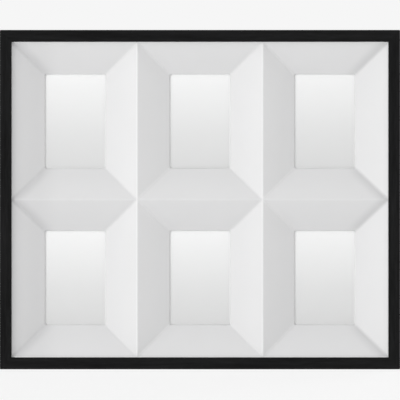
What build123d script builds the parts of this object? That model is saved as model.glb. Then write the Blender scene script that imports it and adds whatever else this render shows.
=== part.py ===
from build123d import *

import math
import os

# Collage photo frame: a mitred black frame round a white faceted mat with a grid of photo windows.
# Millimetres, +Z up, the front faces -Y. The origin is the middle of the underside, at half the depth.
# Windows are numbered in reading order, as seen from the front.

# Grid of windows, the prints they show, and how much of a print's edges each window covers
columns = 3
rows = 2
photo_width = 101.6
photo_height = 152.4
side_cover = 5.3
end_cover = 5.7

# Frame rails: face seen from the front, the rabbet that holds the mat, and the recess left at the back
rail_face = 17.5
lip_thickness = 5.0
rabbet_width = 5.0
back_recess = 5.7
outer_edge_round = 1.6
sight_edge_round = 0.8

# Faceted mat
mat_clearance = 0.5
mat_wall = 2.2
recess_depth = 25.8
side_facet_run = 46.75
end_facet_run = 45.6
crest_width = 1.8
crest_flat = 0.1
crest_round = 3.2
recess_corner = 3.0
window_corner = 3.5
window_edge_round = 0.8
ledge_thickness = 1.0
pocket_wall = 2.0
pocket_clearance = 1.2
skirt_corner = 2.0

# What lies in each pocket, from the window backwards
stack_clearance = 0.5
pane_thickness = 1.2
pane_seam = 0.3
insert_thickness = 0.3
backer_thickness = 3.0
backer_corner = 1.0
notch_radius = 8.0

# Turn buttons on their bosses, beside each window
boss_radius = 4.5
boss_bite = 0.5
boss_rise = 0.2
button_width = 9.0
button_thickness = 1.2
button_grip = 4.5
button_tip_run = 5.5
button_tip_rise = 1.6

# Pan-head screws
screw_radius = 1.4
screw_head_radius = 2.8
screw_head_height = 1.9
screw_head_round = 0.9
screw_tip_length = 2.0
screw_tip_radius = 0.3
cross_length = 3.2
cross_width = 0.9
cross_depth = 1.1
screw_play = 0.05
washer_play = 0.1
boss_screw_length = 9.5
hanger_screw_length = 12.0
mat_screw_cover = 3.2

# Corner nails driven in from the back across each mitre
nail_leg = 5.0
nail_thickness = 0.6
nail_depth = 10.0
nails_per_corner = 2

# Strap hangers with swinging rings on the side rails
strap_width = 6.4
strap_thickness = 1.2
strap_foot = 4.6
strap_foot_round = 2.8
ring_wire_radius = 1.0
ring_straight = 4.5
ring_bend = 1.6
ring_play = 0.1
ring_end_gap = 0.2
ring_strap_gap = 0.3
hanger_drop = 110.0
hanger_screw_gap = 0.6
hanger_screw_pitch = 8.5

# Rubber wall bumpers at the foot of the frame
bumper_radius = 4.5
bumper_margin = 0.7
bumper_round = 1.0
bumper_inset = 30.0

# Strap hanger sizes that follow from those above
pivot_rise = strap_thickness + ring_strap_gap + ring_wire_radius
knuckle_bore = ring_wire_radius + ring_play
knuckle_radius = knuckle_bore + strap_thickness
ring_half_width = strap_width / 2 + ring_end_gap + ring_bend
ring_reach = ring_straight + ring_half_width + ring_wire_radius
hanger_screw_drop = ring_reach + hanger_screw_gap + screw_head_radius
strap_length = hanger_screw_drop + hanger_screw_pitch + strap_foot

# Overall size and the planes that the pieces share, counted backwards from the front face
window_width = photo_width - 2 * side_cover
window_height = photo_height - 2 * end_cover
cell_width = window_width + 2 * side_facet_run + crest_width
cell_height = window_height + 2 * end_facet_run + crest_width
frame_width = columns * cell_width + 2 * rail_face
frame_height = rows * cell_height + 2 * rail_face
stack_depth = ledge_thickness + pane_thickness + insert_thickness + backer_thickness
rail_depth = lip_thickness + recess_depth + stack_depth + back_recess
bumper_height = pivot_rise + knuckle_radius + bumper_margin
overall_depth = rail_depth + bumper_height
front_y = -overall_depth / 2
back_y = front_y + rail_depth
crest_y = front_y + lip_thickness
window_y = crest_y + recess_depth
pocket_y = window_y + ledge_thickness
insert_y = pocket_y + pane_thickness
backer_y = insert_y + insert_thickness
rim_y = backer_y + backer_thickness
boss_y = rim_y + boss_rise
button_y = boss_y + button_thickness

# Sizes that follow from those above
rail_body = rail_face - rabbet_width
mat_width = frame_width - 2 * rail_body - 2 * mat_clearance
mat_height = frame_height - 2 * rail_body - 2 * mat_clearance
pocket_width = photo_width + 2 * pocket_clearance
pocket_height = photo_height + 2 * pocket_clearance
recess_width = cell_width - crest_width
recess_height = cell_height - crest_width
facet_angle = math.atan2(recess_depth, min(side_facet_run, end_facet_run))
wall_shift = mat_wall / math.cos(facet_angle)
boss_offset = pocket_width / 2 + pocket_wall + boss_radius - boss_bite
mat_screw_length = mat_wall + mat_clearance + rail_body - mat_screw_cover
centre_z = frame_height / 2
pivot_z = frame_height - hanger_drop
edge_tolerance = 0.01


def facing_back(x, y, z):
    """A drawing plane across the frame whose normal points to the back."""
    return Plane(origin=(x, y, z), x_dir=(1, 0, 0), z_dir=(0, 1, 0))


def plate(width, height, y_from, y_to, x=0.0, z=0.0, corner=0.0):
    """A flat plate parallel to the wall, with rounded corners where they are asked for."""
    outline = RectangleRounded(width, height, corner) if corner else Rectangle(width, height)
    return extrude(facing_back(x, y_from, z) * outline, amount=y_to - y_from)


def rod(radius, y_from, y_to, x, z):
    """A round rod along the depth."""
    return extrude(facing_back(x, y_from, z) * Circle(radius), amount=y_to - y_from)


def cell_centres():
    """The windows' numbers and centres, in reading order."""
    number = 0
    for row in range(rows):
        for column in range(columns):
            number += 1
            x = (column - (columns - 1) / 2) * cell_width
            z = centre_z + ((rows - 1) / 2 - row) * cell_height
            yield number, x, z


def boss_centres():
    """The turn-button posts: window number, side name, the way to the window, and place."""
    for number, x, z in cell_centres():
        yield number, "left", 1, x - boss_offset, z
        yield number, "right", -1, x + boss_offset, z


def recess(x, z, y_shift=0.0):
    """The sloping hollow in front of one window, from the crests down to the window's edge."""
    mouth = RectangleRounded(recess_width, recess_height, recess_corner)
    throat = RectangleRounded(window_width, window_height, window_corner)
    mouth_plane = facing_back(x, crest_y + y_shift, z)
    throat_plane = facing_back(x, window_y + y_shift, z)
    return loft([mouth_plane * mouth, throat_plane * throat], ruled=True)


def pan_screw(length, hole=False):
    """A cross-head pan screw along Z, its head's underside at the origin. A hole is only the shank."""
    shank_radius = screw_radius + screw_play if hole else screw_radius
    shank_length = length + screw_play if hole else length
    straight = shank_length - screw_tip_length
    shank = Pos(0, 0, -straight / 2) * Cylinder(shank_radius, straight)
    point = Cone(screw_tip_radius, shank_radius, screw_tip_length)
    shank += Pos(0, 0, -straight - screw_tip_length / 2) * point
    if hole:
        return shank
    head = Pos(0, 0, screw_head_height / 2) * Cylinder(screw_head_radius, screw_head_height)
    head = fillet(head.edges().group_by(Axis.Z)[-1], screw_head_round)
    cross = Box(cross_length, cross_width, cross_depth) + Box(cross_width, cross_length, cross_depth)
    return head + shank - Pos(0, 0, screw_head_height - cross_depth / 2) * cross


def head_to_back(x, y, z):
    """Places a screw so that its head faces the back and its underside lies at the given point."""
    return Pos(x, y, z) * Rot(-90, 0, 0)


def mat_screw_places():
    """Seats of the screws that hold the mat's skirt to the rails, heads facing inwards, rail by rail."""
    seat_y = (crest_y + rim_y) / 2
    seat_x = mat_width / 2 - mat_wall
    seat_z = mat_height / 2 - mat_wall
    across = [x for number, x, z in cell_centres() if number <= columns]
    upright = [z for number, x, z in cell_centres() if number % columns == 0]
    return {
        "top_rail": [Pos(x, seat_y, centre_z + seat_z) * Rot(180, 0, 0) for x in across],
        "bottom_rail": [Pos(x, seat_y, centre_z - seat_z) for x in across],
        "left_rail": [Pos(-seat_x, seat_y, z) * Rot(0, 90, 0) for z in upright],
        "right_rail": [Pos(seat_x, seat_y, z) * Rot(0, -90, 0) for z in upright],
    }


def hanger_sides():
    """The side names and middles of the two rails that carry the hangers."""
    middle = frame_width / 2 - rail_body / 2
    return (("left", -middle), ("right", middle))


def hanger_screw_places(x):
    """Seats of the screws through one strap."""
    heights = (pivot_z - hanger_screw_drop, pivot_z - hanger_screw_drop - hanger_screw_pitch)
    return [head_to_back(x, back_y + strap_thickness, z) for z in heights]


def corner_nails():
    """Angled nails, flush with the back, whose legs lie along the two rails that meet at a corner."""
    nails = []
    for side in (-1, 1):
        for end in (-1, 1):
            for n in range(nails_per_corner):
                inset = rail_body * (n + 1) / (nails_per_corner + 1)
                x = side * (frame_width / 2 - inset)
                z = centre_z + end * (frame_height / 2 - inset)
                y_from = back_y - nail_depth
                along = plate(nail_leg, nail_thickness, y_from, back_y, x - side * nail_leg / 2, z)
                up = plate(nail_thickness, nail_leg, y_from, back_y, x, z - end * nail_leg / 2)
                heel = plate(nail_thickness, nail_thickness, y_from, back_y, x, z)
                nails.append((along + up + heel).solid())
    return nails


def straight_rail(length):
    """One mitred rail along X, its outer edge at the bottom and its rabbet at the top and back."""
    section = Polyline(
        (front_y, 0),
        (back_y, 0),
        (back_y, rail_body),
        (crest_y, rail_body),
        (crest_y, rail_face),
        (front_y, rail_face),
        close=True,
    )
    face = make_face(Plane.YZ * section)
    bar = extrude(face, amount=length / 2, both=True)
    outer_edge = bar.edges().filter_by(Axis.X).sort_by_distance((0, front_y, 0))[0]
    bar = fillet(outer_edge, outer_edge_round)
    sight_edge = bar.edges().filter_by(Axis.X).sort_by_distance((0, front_y, rail_face))[0]
    bar = fillet(sight_edge, sight_edge_round)
    half = length / 2
    mitre = Polyline(
        (-half, 0),
        (half, 0),
        (half - rail_face, rail_face),
        (-half + rail_face, rail_face),
        close=True,
    )
    trapezium = make_face(Plane.XZ * mitre)
    return bar & extrude(trapezium, amount=overall_depth, both=True)


def frame_rails(nails):
    """The four rails in place, with their nail slots and screw holes."""
    across = straight_rail(frame_width)
    upright = straight_rail(frame_height)
    rails = {
        "bottom_rail": across,
        "top_rail": Pos(0, 0, frame_height) * Rot(0, 180, 0) * across,
        "left_rail": Pos(-frame_width / 2, 0, centre_z) * Rot(0, 90, 0) * upright,
        "right_rail": Pos(frame_width / 2, 0, centre_z) * Rot(0, -90, 0) * upright,
    }
    mat_hole = pan_screw(mat_screw_length, hole=True)
    hanger_hole = pan_screw(hanger_screw_length, hole=True)
    holes = {name: [place * mat_hole for place in places] for name, places in mat_screw_places().items()}
    for side, x in hanger_sides():
        holes[f"{side}_rail"] += [place * hanger_hole for place in hanger_screw_places(x)]
    return {name: rail - nails - holes[name] for name, rail in rails.items()}


def faceted_mat():
    """The moulded mat: facets down to every window, pockets behind them, posts, and a skirt."""
    face_back = crest_y + wall_shift
    sheet = plate(mat_width, mat_height, crest_y, face_back, z=centre_z, corner=skirt_corner)
    tray = plate(mat_width, mat_height, crest_y, rim_y, z=centre_z, corner=skirt_corner)
    inside = plate(mat_width - 2 * mat_wall, mat_height - 2 * mat_wall, crest_y, rim_y, z=centre_z)
    body = sheet + (tray - inside)
    hollows = []
    for number, x, z in cell_centres():
        block_width = pocket_width + 2 * pocket_wall
        block_height = pocket_height + 2 * pocket_wall
        body += recess(x, z, wall_shift)
        body += plate(block_width, block_height, crest_y, rim_y, x, z)
        hollows.append(recess(x, z))
        hollows.append(plate(window_width, window_height, window_y, pocket_y, x, z, window_corner))
        hollows.append(plate(pocket_width, pocket_height, pocket_y, rim_y, x, z))
    boss_hole = pan_screw(boss_screw_length, hole=True)
    for number, side, way, x, z in boss_centres():
        body += rod(boss_radius, crest_y, boss_y, x, z)
        hollows.append(head_to_back(x, button_y + washer_play, z) * boss_hole)
    skirt_hole = Pos(0, 0, -mat_wall / 2) * Cylinder(screw_radius + washer_play, mat_wall)
    for places in mat_screw_places().values():
        hollows += [place * skirt_hole for place in places]
    body -= hollows
    crest_edges = [edge for edge in body.edges() if is_crest_edge(edge)]
    widest_round = (crest_width / 2 - crest_flat) / math.tan(facet_angle / 2)
    body = fillet(crest_edges, min(crest_round, widest_round))
    window_edges = [edge for edge in body.edges() if lies_at(edge, window_y)]
    return fillet(window_edges, min(window_edge_round, ledge_thickness))


def lies_at(edge, y):
    """True for an edge that keeps to one plane across the frame."""
    box = edge.bounding_box()
    return max(abs(box.min.Y - y), abs(box.max.Y - y)) < edge_tolerance


def is_crest_edge(edge):
    """True for the edges between the crests and the facets."""
    box = edge.bounding_box()
    inside_x = max(-box.min.X, box.max.X) < frame_width / 2 - rail_face
    inside_z = box.min.Z > rail_face and box.max.Z < frame_height - rail_face
    return lies_at(edge, crest_y) and inside_x and inside_z


def pane(x, z):
    """A clear pane with seamed edges, lying on the pocket's floor."""
    width = pocket_width - 2 * stack_clearance
    height = pocket_height - 2 * stack_clearance
    glass = plate(width, height, pocket_y, insert_y, x, z)
    return chamfer(glass.edges(), pane_seam)


def photo_insert(x, z):
    """The paper print behind the pane."""
    return plate(photo_width, photo_height, insert_y, backer_y, x, z)


def backer(x, z):
    """The hardboard back of one window, with a finger notch in its lower edge."""
    width = pocket_width - 2 * stack_clearance
    height = pocket_height - 2 * stack_clearance
    board = plate(width, height, backer_y, rim_y, x, z, backer_corner)
    return board - rod(notch_radius, backer_y, rim_y, x, z - height / 2)


def turn_button(way):
    """A stamped button turning about the origin, its blade along X over the backer, its tip bent up."""
    heel = button_width / 2
    backer_edge = pocket_width / 2 - stack_clearance
    flat_end = boss_offset - backer_edge + button_grip
    tip_end = flat_end + button_tip_run
    side_view = Polyline(
        (-heel, 0),
        (flat_end, 0),
        (tip_end, button_tip_rise),
        (tip_end, button_tip_rise + button_thickness),
        (flat_end, button_thickness),
        (-heel, button_thickness),
        close=True,
    )
    strip = extrude(make_face(Plane.XY * side_view), amount=heel, both=True)
    outline = Circle(heel)
    outline += Pos((tip_end - heel) / 2, 0) * Rectangle(tip_end - heel, button_width)
    outline += Pos(tip_end - heel, 0) * Circle(heel)
    blank = extrude(facing_back(0, 0, 0) * outline, amount=button_tip_rise + 2 * button_thickness)
    hole = rod(screw_radius + washer_play, 0, button_thickness, 0, 0)
    blade = (strip & blank) - hole
    return blade if way > 0 else Rot(0, 180, 0) * blade


def hanger_strap(x):
    """A strap along the rail whose upper end is curled into a knuckle round the ring's bar."""
    pivot = (x, back_y + pivot_rise, pivot_z)
    leaf = plate(strap_width, strap_length, back_y, back_y + strap_thickness, x, pivot_z - strap_length / 2)
    foot_edges = leaf.edges().filter_by(Axis.Y).group_by(Axis.Z)[0]
    leaf = fillet(foot_edges, min(strap_foot_round, strap_width / 2 - edge_tolerance))
    knuckle = Pos(*pivot) * Rot(0, 90, 0) * Cylinder(knuckle_radius, strap_width)
    bore = Pos(*pivot) * Rot(0, 90, 0) * Cylinder(knuckle_bore, strap_width)
    hole = Pos(0, 0, -strap_thickness / 2) * Cylinder(screw_radius + washer_play, strap_thickness)
    return leaf + knuckle - bore - [place * hole for place in hanger_screw_places(x)]


def hanger_ring(x):
    """A wire ring in the shape of a D, hanging from its straight bar."""
    half = ring_half_width
    bend = ring_bend
    right_bend = RadiusArc((half - bend, 0), (half, -bend), bend)
    crown = RadiusArc((half, -ring_straight), (-half, -ring_straight), half)
    left_bend = RadiusArc((-half, -bend), (-half + bend, 0), bend)
    bar_right = Line((0, 0), (half - bend, 0))
    side_right = Line((half, -bend), (half, -ring_straight))
    side_left = Line((-half, -ring_straight), (-half, -bend))
    bar_left = Line((-half + bend, 0), (0, 0))
    path = Wire([bar_right, right_bend, side_right, crown, side_left, left_bend, bar_left])
    pivot = (x, back_y + pivot_rise, pivot_z)
    upright = Plane(origin=pivot, x_dir=(1, 0, 0), z_dir=(0, -1, 0))
    wire_section = Plane(origin=pivot, z_dir=(1, 0, 0)) * Circle(ring_wire_radius)
    return sweep(wire_section, path=upright * path)


def wall_bumper(side):
    """A rubber foot that holds the lower edge off the wall."""
    x = side * (frame_width / 2 - bumper_inset)
    pad = rod(bumper_radius, back_y, back_y + bumper_height, x, rail_body / 2)
    return fillet(pad.edges().group_by(Axis.Y)[-1], bumper_round)


def all_pieces():
    """Every node's name with its solids."""
    nails = corner_nails()
    pieces = frame_rails(nails)
    pieces["corner_nails"] = Compound(nails)
    pieces["faceted_mat"] = faceted_mat()
    mat_screw = pan_screw(mat_screw_length)
    seats = [place for places in mat_screw_places().values() for place in places]
    pieces["mat_screws"] = Compound([(place * mat_screw).solid() for place in seats])
    for number, x, z in cell_centres():
        pieces[f"pane_{number}"] = pane(x, z)
        pieces[f"photo_insert_{number}"] = photo_insert(x, z)
        pieces[f"backer_{number}"] = backer(x, z)
    boss_screw = pan_screw(boss_screw_length)
    boss_screws = []
    for number, side, way, x, z in boss_centres():
        pieces[f"turn_button_{number}_{side}"] = Pos(x, boss_y, z) * turn_button(way)
        boss_screws.append((head_to_back(x, button_y + washer_play, z) * boss_screw).solid())
    pieces["button_screws"] = Compound(boss_screws)
    hanger_screw = pan_screw(hanger_screw_length)
    hanger_screws = []
    for side, x in hanger_sides():
        pieces[f"hanger_strap_{side}"] = hanger_strap(x)
        pieces[f"hanger_ring_{side}"] = hanger_ring(x)
        hanger_screws += [(place * hanger_screw).solid() for place in hanger_screw_places(x)]
    pieces["hanger_screws"] = Compound(hanger_screws)
    pieces["wall_bumper_left"] = wall_bumper(-1)
    pieces["wall_bumper_right"] = wall_bumper(1)
    return pieces


os.makedirs("parts", exist_ok=True)
for name, shape in all_pieces().items():
    export_step(shape, f"parts/{name}.step")
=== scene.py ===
import math

import bmesh
import bpy
import numpy as np
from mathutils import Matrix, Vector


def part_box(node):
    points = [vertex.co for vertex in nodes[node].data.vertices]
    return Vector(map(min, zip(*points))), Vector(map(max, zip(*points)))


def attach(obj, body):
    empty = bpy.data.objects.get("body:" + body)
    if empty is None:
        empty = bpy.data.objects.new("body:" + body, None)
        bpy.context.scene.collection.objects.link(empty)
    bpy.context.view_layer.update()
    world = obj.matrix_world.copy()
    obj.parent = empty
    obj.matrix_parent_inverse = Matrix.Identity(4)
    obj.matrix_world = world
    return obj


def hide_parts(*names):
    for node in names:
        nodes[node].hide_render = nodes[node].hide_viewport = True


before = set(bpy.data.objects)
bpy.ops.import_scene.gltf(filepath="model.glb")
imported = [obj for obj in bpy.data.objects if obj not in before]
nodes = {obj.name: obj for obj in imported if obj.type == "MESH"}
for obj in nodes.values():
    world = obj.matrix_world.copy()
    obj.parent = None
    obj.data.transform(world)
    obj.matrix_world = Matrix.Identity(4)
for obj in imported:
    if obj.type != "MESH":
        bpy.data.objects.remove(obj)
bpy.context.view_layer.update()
print("frame loaded:", len(nodes), "nodes")


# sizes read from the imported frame, in metres
leftLow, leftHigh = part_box("left_rail")
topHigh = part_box("top_rail")[1]
matLow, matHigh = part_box("faceted_mat")
printLow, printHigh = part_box("photo_insert_1")
grid = {
    "columns": 3,
    "rows": 2,
    "halfWidth": topHigh.x,
    "height": topHigh.z,
    "frontY": leftLow.y,
    "backY": leftHigh.y,
    "crestY": matLow.y,
    "railFace": leftHigh.x - leftLow.x,
    "printHeight": printHigh.z - printLow.z,
    "matPlay": 0.0005,        # gap between the mat and the rails' rabbet
    "sideCover": 0.0053,      # print hidden at each side of a window
    "endCover": 0.0057,       # and at its head and foot
}
grid["middle"] = grid["height"] / 2
grid["railBody"] = grid["halfWidth"] - matHigh.x - grid["matPlay"]
grid["cellWidth"] = 2 * (grid["halfWidth"] - grid["railFace"]) / grid["columns"]
grid["cellHeight"] = (grid["height"] - 2 * grid["railFace"]) / grid["rows"]
# from the middle of a window to its side, and to its head or foot
grid["sideHalf"] = (printHigh.x - printLow.x) / 2 - grid["sideCover"]
grid["endHalf"] = grid["printHeight"] / 2 - grid["endCover"]
windowCount = grid["columns"] * grid["rows"]


# node helpers shared by all finishes
def newFinish(name):
    finish = bpy.data.materials.new(name)
    finish.use_nodes = True
    tree = finish.node_tree
    tree.nodes.clear()
    return finish, tree


def add(tree, kind, inputs=None, **settings):
    node = tree.nodes.new(kind)
    for key, value in settings.items():
        setattr(node, key, value)
    for key, value in (inputs or {}).items():
        if isinstance(value, bpy.types.NodeSocket):
            tree.links.new(value, node.inputs[key])
        else:
            node.inputs[key].default_value = value
    return node


def calc(tree, operation, first, second=0.0):
    return add(tree, "ShaderNodeMath", {0: first, 1: second}, operation=operation).outputs[0]


def smooth(tree, value, low, high):
    inputs = {"Value": value, "From Min": low, "From Max": high}
    return add(tree, "ShaderNodeMapRange", inputs, interpolation_type="SMOOTHSTEP").outputs["Result"]


def between(tree, share, low, high):
    inputs = {"Value": share, "To Min": low, "To Max": high}
    return add(tree, "ShaderNodeMapRange", inputs).outputs["Result"]


def mixColour(tree, share, first, second):
    node = add(tree, "ShaderNodeMix", {0: share, 6: first, 7: second}, data_type="RGBA")
    return node.outputs[2]


def objectPlace(tree):
    return add(tree, "ShaderNodeTexCoord").outputs["Object"]


def apartXYZ(tree, place):
    return add(tree, "ShaderNodeSeparateXYZ", {0: place}).outputs


def noise(tree, place, scale, detail, rough):
    # scale: waves per metre, one number or one for each axis
    scales = np.broadcast_to(scale, 3).tolist()
    spread = add(tree, "ShaderNodeMapping", {"Vector": place, "Scale": scales}).outputs["Vector"]
    inputs = {"Vector": spread, "Scale": 1.0, "Detail": detail, "Roughness": rough}
    return add(tree, "ShaderNodeTexNoise", inputs).outputs["Fac"]


def ramp(tree, value, stops):
    node = add(tree, "ShaderNodeValToRGB", {"Fac": value})
    points = node.color_ramp.elements
    while len(points) < len(stops):
        points.new(0.5)       # moved to its own place below
    for point, (share, colour) in zip(points, stops):
        point.position = share
        point.color = (*colour, 1.0)
    return node.outputs["Color"]


def twoTone(tree, value, span, low, high):
    return ramp(tree, value, ((span[0], low), (span[1], high)))


def bump(tree, height, strength, distance):
    inputs = {"Height": height, "Strength": strength, "Distance": distance}
    return add(tree, "ShaderNodeBump", inputs).outputs["Normal"]


def close(tree, shader):
    add(tree, "ShaderNodeOutputMaterial", {"Surface": shader.outputs[0]})


def closeSurface(tree, settings, colour, rough, relief):
    # what is even all over the surface goes straight onto the shader's sockets
    shader = add(tree, "ShaderNodeBsdfPrincipled", {
        "Base Color": colour,
        "Roughness": between(tree, rough, *settings["roughness"]),
        "Metallic": settings["metallic"],
        "Specular IOR Level": settings["specular"],
        "Normal": bump(tree, relief, *settings["bump"]),
    })
    close(tree, shader)


def finishNodes(finish, *starts):
    for name, node in nodes.items():
        if name.startswith(starts):
            node.data.materials.clear()
            node.data.materials.append(finish)


# mesh helper: points and faces to an object in the scene
def newPiece(name, points, faces, finish):
    mesh = bpy.data.meshes.new(name)
    mesh.from_pydata(points, [], faces)
    mesh.materials.append(finish)
    piece = bpy.data.objects.new(name, mesh)
    bpy.context.scene.collection.objects.link(piece)
    return piece


# black stained rails: one closed profile carried along each side of the frame, cut at 45 degrees
# a noise is given by its waves per metre, its detail and its roughness, and a bump by strength and depth
rail = {
    "frontRound": 0.0016,     # outer front edge
    "sightRound": 0.0008,     # front edge beside the mat
    "hiddenRound": 0.0003,
    "cornerRound": 0.0016,    # seen from the front, where two rails meet
    "seam": 0.00006,          # half of the hairline at a mitre
    "nailStand": 0.0001,      # how far the corner nails stand out of the back
    "arcSteps": 6,
    "cornerSteps": 5,
    "lengthSteps": 48,
    "weld": 1e-7,
    "sharp": math.radians(40),
    "deep": (0.0019, 0.0019, 0.0020),
    "streak": (0.0084, 0.0084, 0.0088),
    "stainSpan": (0.38, 0.64),
    "worn": (0.0085, 0.0085, 0.0088),
    "wornSpan": (0.35, 0.70),
    "bare": (0.30, 0.21, 0.13),
    "bareDark": (0.20, 0.135, 0.08),
    "bareSpan": (0.35, 0.65),
    "fibres": (900.0, 3.0, 0.5),
    "wrap": 0.0030,           # width of stain that laps onto the back
    "wrapFade": 0.0006,
    "wrapRagged": 0.0014,
    "ragged": (420.0, 3.0, 0.5),
    "backSkin": (0.0008, 0.0003),    # how far before the back the bare wood begins, and is whole
    "grainShift": 7.3,        # sets the grain of one rail apart from the next
    "bands": ((9.0, 170.0, 1.0), 2.0, 0.5),      # along, across and from rail to rail
    "streaks": ((42.0, 430.0, 1.0), 4.0, 0.6),
    "bandShare": 0.45,
    "streakShare": 0.55,
    "pores": ((150.0, 3000.0, 1.0), 2.0, 0.5),
    "bump": (0.5, 0.00010),
    "roughness": (0.40, 0.58),
    "metallic": 0.0,
    "specular": 0.12,
}


def railFinish():
    finish, tree = newFinish("blackStainedGrain")
    run = add(tree, "ShaderNodeAttribute", attribute_name="grainRun").outputs["Vector"]
    bands = noise(tree, run, *rail["bands"])
    streaks = noise(tree, run, *rail["streaks"])
    pores = noise(tree, run, *rail["pores"])
    broad = calc(tree, "MULTIPLY", bands, rail["bandShare"])
    fine = calc(tree, "MULTIPLY", streaks, rail["streakShare"])
    grain = calc(tree, "ADD", broad, fine)
    stain = twoTone(tree, grain, rail["stainSpan"], rail["deep"], rail["streak"])
    # rubbed edges: the worn attribute, broken up by the streaks
    worn = add(tree, "ShaderNodeAttribute", attribute_name="edgeWear").outputs["Fac"]
    rubbed = calc(tree, "MULTIPLY", worn, smooth(tree, streaks, *rail["wornSpan"]))
    stain = mixColour(tree, rubbed, stain, (*rail["worn"], 1.0))
    # distance to the nearest outer face, min(halfWidth - |x|, z, height - z)
    place = objectPlace(tree)
    part = apartXYZ(tree, place)
    sideways = calc(tree, "SUBTRACT", grid["halfWidth"], calc(tree, "ABSOLUTE", part["X"]))
    upward = calc(tree, "SUBTRACT", grid["height"], part["Z"])
    inward = calc(tree, "MINIMUM", calc(tree, "MINIMUM", sideways, upward), part["Z"])
    # bare wood shows at the back, inside the ragged edge of the stain
    ragged = calc(tree, "MULTIPLY", noise(tree, place, *rail["ragged"]), rail["wrapRagged"])
    stained = calc(tree, "ADD", inward, ragged)
    lapped = smooth(tree, stained, rail["wrap"], rail["wrap"] + rail["wrapFade"])
    atBack = smooth(tree, part["Y"], *(grid["backY"] - skin for skin in rail["backSkin"]))
    fibres = noise(tree, place, *rail["fibres"])
    bare = twoTone(tree, fibres, rail["bareSpan"], rail["bareDark"], rail["bare"])
    colour = mixColour(tree, calc(tree, "MULTIPLY", lapped, atBack), stain, bare)
    closeSurface(tree, rail, colour, pores, calc(tree, "ADD", streaks, pores))
    return finish


def railOutline():
    # in (inward, depth); a right-angled corner p between unit ways f and n becomes the arc
    # p + r (f (1 - sin t) + n (1 - cos t)), with t from 0 to a quarter turn
    front, crest, back = grid["frontY"], grid["crestY"], grid["backY"] - rail["nailStand"]
    body, face, hidden = grid["railBody"], grid["railFace"], rail["hiddenRound"]
    corners = np.array([(body, back), (0, back), (0, front), (face, front), (face, crest), (body, crest)])
    rounds = np.array([hidden, hidden, rail["frontRound"], rail["sightRound"], hidden, hidden])
    ways = np.roll(corners, -1, axis=0) - corners
    ways /= np.linalg.norm(ways, axis=1, keepdims=True)
    backWays = -np.roll(ways, 1, axis=0)
    t = np.linspace(0, math.pi / 2, rail["arcSteps"] + 1)[None, :, None]
    bend = backWays[:, None] * (1 - np.sin(t)) + ways[:, None] * (1 - np.cos(t))
    arcs = corners[:, None] + rounds[:, None, None] * bend
    worn = np.sin(2 * t[..., 0]) * (corners[:, 1:] == front)
    return arcs.reshape(-1, 2), worn.ravel()


def joinUp(mesh):
    # merges the doubled points, turns the faces outwards and keeps the true edges sharp
    work = bmesh.new()
    work.from_mesh(mesh)
    bmesh.ops.remove_doubles(work, verts=work.verts, dist=rail["weld"])
    bmesh.ops.recalc_face_normals(work, faces=work.faces)
    work.to_mesh(mesh)
    work.free()
    mesh.shade_smooth()
    mesh.set_sharp_from_angle(angle=rail["sharp"])


def makeRail(name, number, half, toPlace, finish):
    outline, worn = railOutline()
    inward, depth = outline.T
    around = np.concatenate(([0], np.cumsum(np.linalg.norm(np.diff(outline, axis=0), axis=1))))
    # stations along the rail: half a corner, the straight run, half a corner
    turn = np.linspace(0, math.pi / 4, rail["cornerSteps"] + 1)
    straight = np.linspace(-1, 1, rail["lengthSteps"] + 1)[1:-1]
    angle = np.concatenate((-turn[::-1], 0 * straight, turn))[:, None]
    way = np.concatenate((0 * turn - 1, straight, 0 * turn + 1))[:, None]
    # along = way (half - inward - r) + r sin(angle), and the edge moves in by r (1 - cos(angle))
    spare = np.clip(rail["cornerRound"] - inward, 0, None)
    along = way * (half - inward - spare) + spare * np.sin(angle)
    along[[0, -1]] *= 1 - rail["seam"] / half
    deep = inward + spare * (1 - np.cos(angle))
    points = np.stack(toPlace(along, deep, np.broadcast_to(depth, deep.shape)), axis=-1).reshape(-1, 3)
    index = np.arange(along.size).reshape(along.shape)
    beside = np.roll(index, -1, axis=1)
    sides = np.stack((index[:-1], index[1:], beside[1:], beside[:-1]), axis=-1).reshape(-1, 4)
    piece = newPiece(name + "Grained", points.tolist(), sides.tolist() + index[[0, -1]].tolist(), finish)
    run = np.stack(np.broadcast_arrays(along, around, rail["grainShift"] * number), axis=-1)
    piece.data.attributes.new("grainRun", "FLOAT_VECTOR", "POINT").data.foreach_set("vector", run.ravel())
    wear = np.broadcast_to(worn, along.shape).ravel()
    piece.data.attributes.new("edgeWear", "FLOAT", "POINT").data.foreach_set("value", wear)
    joinUp(piece.data)
    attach(piece, "frame")
    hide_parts(name)


def makeRails():
    finish = railFinish()
    wide, high, middle = grid["halfWidth"], grid["height"], grid["middle"]
    makeRail("bottom_rail", 1, wide, lambda along, deep, y: (along, y, deep), finish)
    makeRail("top_rail", 2, wide, lambda along, deep, y: (along, y, high - deep), finish)
    makeRail("left_rail", 3, middle, lambda along, deep, y: (deep - wide, y, middle + along), finish)
    makeRail("right_rail", 4, middle, lambda along, deep, y: (wide - deep, y, middle + along), finish)
    finishNodes(finish, "top_rail", "bottom_rail", "left_rail", "right_rail")


makeRails()
print("rails made")


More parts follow.
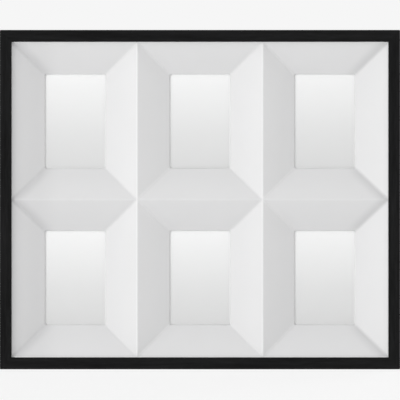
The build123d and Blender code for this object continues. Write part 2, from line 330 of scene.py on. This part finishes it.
# white moulded mat: eggshell grain, with painted shade down in the recesses, along their creases, on the
# head and foot facets and beside the left rail, and a painted highlight along the upright crests and the
# border
mat = {
    "white": (0.765, 0.765, 0.768),
    "drift": (0.755, 0.755, 0.757),
    "driftSpan": (0.35, 0.65),
    "cloud": (14.0, 2.0, 0.5),
    # colour that the painted shade darkens the white towards
    "shade": (0.60, 0.60, 0.605),
    # colour of the painted highlight along the crests
    "crest": (0.86, 0.86, 0.862),
    "crestStart": (0.955, 0.985),    # shares of the way up a facet where the painted crest highlight begins
    "paintedCrestLift": 0.75,               # painted highlight on the upright ridges and along the mat's border
    "border": (0.1, 0.2),            # distance above or below the middle where the border counts
    "creaseWidth": 0.016,            # width of the painted crease shade on the head and foot facets
    "creaseLean": 4.0,               # times narrower on the side facets
    "paintedCreaseShade": (0.05, 0.60),     # painted crease shade in the inner and in the outermost recesses
    "outer": (0.205, 0.245),         # distance from the middle where the outermost facets begin
    "paintedLeftRailShade": 0.22,              # painted shade on the facets beside the left rail
    "paintedEndShade": 0.22,                # painted shade on the head and foot facets
    "endSplit": 0.01,                # half the softness of the line between side and end facets
    # painted shade, strongest at a window's edge and none at the crest
    "paintedDeepShade": 0.16,
    "grain": (2600.0, 2.0, 0.5),
    "bump": (0.25, 0.00004),
    "roughness": (0.48, 0.60),
    "metallic": 0.0,
    "specular": 0.30,
}


def fromCell(tree, value, count, pitch):
    # signed distance from the middle of a cell: ((v + half span) mod pitch) - pitch/2
    shifted = calc(tree, "ADD", value, count * pitch / 2)
    return calc(tree, "SUBTRACT", calc(tree, "FLOORED_MODULO", shifted, pitch), pitch / 2)


def fromWindow(tree, part):
    # a point's place across and up from the middle of its own window
    upward = calc(tree, "SUBTRACT", part["Z"], grid["middle"])
    localX = fromCell(tree, part["X"], grid["columns"], grid["cellWidth"])
    localZ = fromCell(tree, upward, grid["rows"], grid["cellHeight"])
    return localX, localZ


def facetShare(tree, local, pitch, windowHalf):
    # 0 at a window's edge and 1 at the crest: (|local| - window/2) / run
    outside = calc(tree, "SUBTRACT", calc(tree, "ABSOLUTE", local), windowHalf)
    return calc(tree, "DIVIDE", outside, pitch / 2 - windowHalf)


def matPaintedShade(tree, part, side, end):
    # painted shade: crease + deep + beside the left rail + head and foot, each times its own share of the
    # painted shade
    run = (grid["cellWidth"] / 2 - grid["sideHalf"]) / math.sqrt(2)
    ahead = calc(tree, "SUBTRACT", end, side)
    apart = calc(tree, "MULTIPLY", ahead, run)
    apart = calc(tree, "MAXIMUM", apart, calc(tree, "MULTIPLY", apart, -mat["creaseLean"]))
    crease = calc(tree, "SUBTRACT", 1.0, smooth(tree, apart, 0.0, mat["creaseWidth"]))
    outermost = smooth(tree, calc(tree, "ABSOLUTE", part["X"]), *mat["outer"])
    shade = calc(tree, "MULTIPLY", crease, between(tree, outermost, *mat["paintedCreaseShade"]))
    highest = calc(tree, "MAXIMUM", side, end)
    deep = calc(tree, "SUBTRACT", 1.0, smooth(tree, highest, 0.0, 1.0))
    shade = calc(tree, "ADD", shade, calc(tree, "MULTIPLY", deep, mat["paintedDeepShade"]))
    leftmost = smooth(tree, calc(tree, "MULTIPLY", part["X"], -1.0), *mat["outer"])
    shade = calc(tree, "ADD", shade, calc(tree, "MULTIPLY", leftmost, mat["paintedLeftRailShade"]))
    atEnd = smooth(tree, ahead, -mat["endSplit"], mat["endSplit"])
    return calc(tree, "ADD", shade, calc(tree, "MULTIPLY", atEnd, mat["paintedEndShade"]))


def matPaintedCrestHighlight(tree, part, localX, side, end):
    # painted highlight on the upright ridges on their left-facing side, and on the mat's border at its head
    # and foot
    facingLeft = calc(tree, "GREATER_THAN", localX, 0.0)
    upward = calc(tree, "SUBTRACT", part["Z"], grid["middle"])
    atBorder = smooth(tree, calc(tree, "ABSOLUTE", upward), *mat["border"])
    upright = calc(tree, "MULTIPLY", smooth(tree, side, *mat["crestStart"]), facingLeft)
    level = calc(tree, "MULTIPLY", smooth(tree, end, *mat["crestStart"]), atBorder)
    return calc(tree, "MULTIPLY", calc(tree, "MAXIMUM", upright, level), mat["paintedCrestLift"])


def matFinish():
    finish, tree = newFinish("whiteMouldingPaintedShadeAndHighlight")
    place = objectPlace(tree)
    part = apartXYZ(tree, place)
    localX, localZ = fromWindow(tree, part)
    side = facetShare(tree, localX, grid["cellWidth"], grid["sideHalf"])
    end = facetShare(tree, localZ, grid["cellHeight"], grid["endHalf"])
    cloud = noise(tree, place, *mat["cloud"])
    white = twoTone(tree, cloud, mat["driftSpan"], mat["drift"], mat["white"])
    # painted shade mixed into the white, then the painted crest highlight over it
    white = mixColour(tree, matPaintedShade(tree, part, side, end), white, (*mat["shade"], 1.0))
    crest = matPaintedCrestHighlight(tree, part, localX, side, end)
    colour = mixColour(tree, crest, white, (*mat["crest"], 1.0))
    closeSurface(tree, mat, colour, cloud, noise(tree, place, *mat["grain"]))
    return finish


finishNodes(matFinish(), "faceted_mat")
print("mat finished")


# paper prints: thin sheets with a plain fade and a painted pale rim of light along the window's edge, lying
# against the panes
insert = {
    "gap": 0.00006,           # air between a pane and its paper
    "thickness": 0.00018,
    "wave": 0.00001,
    "steps": (20, 30),
    "stops": ((0.04, 0.92), (0.16, 0.875), (0.62, 0.748), (0.96, 0.688)),    # share down, paleness
    "speck": 0.02,            # how far the paper's tooth breaks up the fade
    "rim": 0.0025,            # painted light: the print is paler along the window's edge, offsetting the shade the edge casts there
    "paintedRimLift": 0.9,           # painted light at the head and the sides
    # painted light at the foot
    "paintedFootLift": 0.3,
    # colour that the painted rim of light lifts the print towards
    "bare": (0.985, 0.985, 0.985),
    "tooth": (1800.0, 2.0, 0.5),
    "bump": (0.2, 0.00002),
    "roughness": (0.68, 0.82),
    "metallic": 0.0,
    "specular": 0.2,
}


def insertPaintedRim(tree, localX, localZ):
    # painted light along the window's edge; from the distance outside the window's edge, negative within: 0
    # at the painted rim's inner line, 1 at the edge
    besideEdge = calc(tree, "SUBTRACT", calc(tree, "ABSOLUTE", localX), grid["sideHalf"])
    aboveEdge = calc(tree, "SUBTRACT", localZ, grid["endHalf"])
    belowEdge = calc(tree, "SUBTRACT", calc(tree, "MULTIPLY", localZ, -1.0), grid["endHalf"])
    nearEdge = calc(tree, "MAXIMUM", besideEdge, aboveEdge)
    rim = calc(tree, "MULTIPLY", smooth(tree, nearEdge, -insert["rim"], 0.0), insert["paintedRimLift"])
    foot = calc(tree, "MULTIPLY", smooth(tree, belowEdge, -insert["rim"], 0.0), insert["paintedFootLift"])
    return calc(tree, "MAXIMUM", rim, foot)


def insertFinish():
    finish, tree = newFinish("fadedPaper")
    place = objectPlace(tree)
    localX, localZ = fromWindow(tree, apartXYZ(tree, place))
    # share of the way down a print, broken up by the paper's tooth
    share = calc(tree, "SUBTRACT", 0.5, calc(tree, "DIVIDE", localZ, grid["printHeight"]))
    tooth = noise(tree, place, *insert["tooth"])
    speck = calc(tree, "MULTIPLY", calc(tree, "SUBTRACT", tooth, 0.5), insert["speck"])
    fade = [(down, (pale, pale, pale)) for down, pale in insert["stops"]]
    printed = ramp(tree, calc(tree, "ADD", share, speck), fade)
    # painted pale rim of light along the window's edge
    colour = mixColour(tree, insertPaintedRim(tree, localX, localZ), printed, (*insert["bare"], 1.0))
    closeSurface(tree, insert, colour, tooth, tooth)
    return finish


def makeInsert(number, finish):
    # y = front + wave (1 + sin(2 pi a) sin(pi b)), over the shares a and b of the sheet's width and height
    name = f"photo_insert_{number}"
    low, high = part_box(name)
    across, upward = (np.linspace(0, 1, steps + 1) for steps in insert["steps"])
    a, b = np.meshgrid(across, upward, indexing="ij")
    wave = insert["wave"] * (1 + np.sin(2 * math.pi * a) * np.sin(math.pi * b))
    x, z = low.x + a * (high.x - low.x), low.z + b * (high.z - low.z)
    points = np.stack((x, low.y + insert["gap"] + wave, z), axis=-1).reshape(-1, 3)
    index = np.arange(a.size).reshape(a.shape)
    corners = (index[:-1, :-1], index[1:, :-1], index[1:, 1:], index[:-1, 1:])
    faces = np.stack(corners, axis=-1).reshape(-1, 4)
    piece = newPiece(f"printSheet{number}", points.tolist(), faces.tolist(), finish)
    piece.data.shade_smooth()
    wall = piece.modifiers.new("paper", "SOLIDIFY")
    wall.thickness, wall.offset = insert["thickness"], -1.0
    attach(piece, "frame")
    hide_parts(name)


paper = insertFinish()
finishNodes(paper, "photo_insert")
for number in range(1, windowCount + 1):
    makeInsert(number, paper)
print("prints made")


# clear panes: light goes straight through, with a faint mirror of the room
pane = {
    "tint": (0.999, 1.0, 0.9995, 1.0),
    "ior": 1.52,
    "smear": (30.0, 2.0, 0.5),
    "roughness": (0.0, 0.04),
}


def paneFinish():
    finish, tree = newFinish("clearPane")
    through = add(tree, "ShaderNodeBsdfTransparent", {"Color": pane["tint"]})
    smear = noise(tree, objectPlace(tree), *pane["smear"])
    mirror = add(tree, "ShaderNodeBsdfGlossy", {"Roughness": between(tree, smear, *pane["roughness"])})
    facing = add(tree, "ShaderNodeFresnel", {"IOR": pane["ior"]}).outputs[0]
    rays = add(tree, "ShaderNodeLightPath").outputs
    skipped = calc(tree, "MAXIMUM", rays["Is Shadow Ray"], rays["Is Diffuse Ray"])
    # the far face of a pane mirrors nothing, as the light isn't bent on its way in
    within = add(tree, "ShaderNodeNewGeometry").outputs["Backfacing"]
    skipped = calc(tree, "MAXIMUM", skipped, within)
    share = calc(tree, "MULTIPLY", facing, calc(tree, "SUBTRACT", 1.0, skipped))
    close(tree, add(tree, "ShaderNodeMixShader", {0: share, 1: through.outputs[0], 2: mirror.outputs[0]}))
    return finish


# brown hardboard with pressed fibres and the mark of the press screen
board = {
    "light": (0.30, 0.185, 0.105),
    "dark": (0.17, 0.095, 0.05),
    "fibreSpan": (0.3, 0.7),
    "fibre": (240.0, 6.0, 0.7),
    "blotch": (25.0, 3.0, 0.5),
    "screen": 520.0,
    "screenShade": 0.35,
    "bump": (0.5, 0.0002),
    "roughness": (0.60, 0.85),
    "metallic": 0.0,
    "specular": 0.25,
}


def boardFinish():
    finish, tree = newFinish("pressedHardboard")
    place = objectPlace(tree)
    fibre = noise(tree, place, *board["fibre"])
    blotch = noise(tree, place, *board["blotch"])
    brown = twoTone(tree, fibre, board["fibreSpan"], board["dark"], board["light"])
    weave = {"Vector": place, "Scale": board["screen"]}
    across = add(tree, "ShaderNodeTexWave", weave, bands_direction="X").outputs["Fac"]
    upright = add(tree, "ShaderNodeTexWave", weave, bands_direction="Z").outputs["Fac"]
    screen = calc(tree, "MULTIPLY", across, upright)
    pressed = calc(tree, "MULTIPLY", screen, board["screenShade"])
    colour = mixColour(tree, pressed, brown, (*board["dark"], 1.0))
    closeSurface(tree, board, colour, blotch, calc(tree, "ADD", screen, fibre))
    return finish


# zinc plated steel, slightly cloudy
steel = {
    "bright": (0.56, 0.57, 0.59),
    "dull": (0.33, 0.34, 0.37),
    "cloudSpan": (0.3, 0.7),
    "cloud": (420.0, 4.0, 0.5),
    "scratch": ((2400.0, 2400.0, 300.0), 2.0, 0.5),
    "bump": (0.25, 0.00006),
    "roughness": (0.22, 0.46),
    "metallic": 1.0,
    "specular": 0.5,
}


def steelFinish():
    finish, tree = newFinish("zincSteel")
    place = objectPlace(tree)
    cloud = noise(tree, place, *steel["cloud"])
    colour = twoTone(tree, cloud, steel["cloudSpan"], steel["dull"], steel["bright"])
    closeSurface(tree, steel, colour, cloud, noise(tree, place, *steel["scratch"]))
    return finish


# matt black rubber with a little dust
rubber = {
    "deep": (0.012, 0.012, 0.012),
    "dusty": (0.035, 0.034, 0.033),
    "dustSpan": (0.4, 0.75),
    "dust": (700.0, 4.0, 0.5),
    "bump": (0.3, 0.0001),
    "roughness": (0.65, 0.90),
    "metallic": 0.0,
    "specular": 0.3,
}


def rubberFinish():
    finish, tree = newFinish("bumperRubber")
    dust = noise(tree, objectPlace(tree), *rubber["dust"])
    colour = twoTone(tree, dust, rubber["dustSpan"], rubber["deep"], rubber["dusty"])
    closeSurface(tree, rubber, colour, dust, dust)
    return finish


finishNodes(paneFinish(), "pane")
finishNodes(boardFinish(), "backer")
finishNodes(steelFinish(), "corner_nails", "mat_screws", "button_screws", "hanger", "turn_button")
finishNodes(rubberFinish(), "wall_bumper")
print("finishes on all nodes")


# pale floor that takes the shadow, and a pale room
stage = {
    "floorSize": 30.0,
    "floor": (0.83, 0.83, 0.83, 1.0),
    "room": (0.9216, 0.9216, 0.9216, 1.0),
    "glow": 0.75,             # share of the floor that the camera sees as pale as the room
    "glowStrength": 1.08,
    "bounce": 0.25,           # the same share for the light that the floor sends back
    "light": (1.0, 1.0, 1.0, 1.0),
    "ambient": 0.782,
}


def seenRays(tree):
    # 1 for what the camera sees, straight on, mirrored or through a pane
    rays = add(tree, "ShaderNodeLightPath").outputs
    mirrored = calc(tree, "MAXIMUM", rays["Is Camera Ray"], rays["Is Glossy Ray"])
    return calc(tree, "MAXIMUM", mirrored, rays["Is Transmission Ray"])


def makeFloor():
    half = stage["floorSize"] / 2
    finish, tree = newFinish("paleFloor")
    matt = add(tree, "ShaderNodeBsdfDiffuse", {"Color": stage["floor"]})
    pale = add(tree, "ShaderNodeEmission", {"Color": stage["room"], "Strength": stage["glowStrength"]})
    share = between(tree, seenRays(tree), stage["bounce"], stage["glow"])
    close(tree, add(tree, "ShaderNodeMixShader", {0: share, 1: matt.outputs[0], 2: pale.outputs[0]}))
    corners = [(-half, -half, 0), (half, -half, 0), (half, half, 0), (-half, half, 0)]
    newPiece("floor", corners, [(0, 1, 2, 3)], finish)


def makeRoom():
    world = bpy.data.worlds.new("room")
    bpy.context.scene.world = world
    world.use_nodes = True
    tree = world.node_tree
    tree.nodes.clear()
    soft = add(tree, "ShaderNodeBackground", {"Color": stage["light"], "Strength": stage["ambient"]})
    shown = add(tree, "ShaderNodeBackground", {"Color": stage["room"], "Strength": 1.0})
    shader = add(tree, "ShaderNodeMixShader", {0: seenRays(tree), 1: soft.outputs[0], 2: shown.outputs[0]})
    add(tree, "ShaderNodeOutputWorld", {"Surface": shader.outputs[0]})


makeFloor()
makeRoom()


# soft lamps: place, size and power of each, all aimed at the middle of the frame
lamps = {
    "left": {"place": (-4.24, -4.39, 0.25), "size": 2.2, "power": 226.0},
    "back": {"place": (2.4, 4.6, 3.2), "size": 2.2, "power": 70.0},
}


def makeLamps():
    aim = np.array((0.0, 0.0, grid["middle"]))
    for name, lamp in lamps.items():
        light = bpy.data.lights.new(name, "AREA")
        light.size = lamp["size"]
        light.energy = lamp["power"]
        holder = bpy.data.objects.new(name, light)
        away = np.array(lamp["place"]) - aim
        turn = math.atan2(away[0], -away[1])
        drop = math.acos(away[2] / np.linalg.norm(away))
        holder.rotation_euler = (drop, 0.0, turn)
        holder.location = lamp["place"]
        holder.visible_glossy = False     # the panes and the steel mirror the pale room alone
        bpy.context.scene.collection.objects.link(holder)


makeLamps()
print("stage lit")


# frontal camera, far enough to look almost flat, with the frame's width filling the picture
view = {"distance": 3.6, "pictureWidth": 0.5927, "aimX": 0.00005, "aimZ": -0.0006, "sensor": 36.0}


def makeCamera():
    camera = bpy.data.cameras.new("camera")
    camera.sensor_width = view["sensor"]
    camera.lens = view["sensor"] * view["distance"] / view["pictureWidth"]
    holder = bpy.data.objects.new("camera", camera)
    holder.location = (view["aimX"], grid["frontY"] - view["distance"], grid["middle"] + view["aimZ"])
    holder.rotation_euler = (math.pi / 2, 0.0, 0.0)
    bpy.context.scene.collection.objects.link(holder)
    bpy.context.scene.camera = holder


makeCamera()
bpy.context.scene.view_settings.view_transform = "Standard"
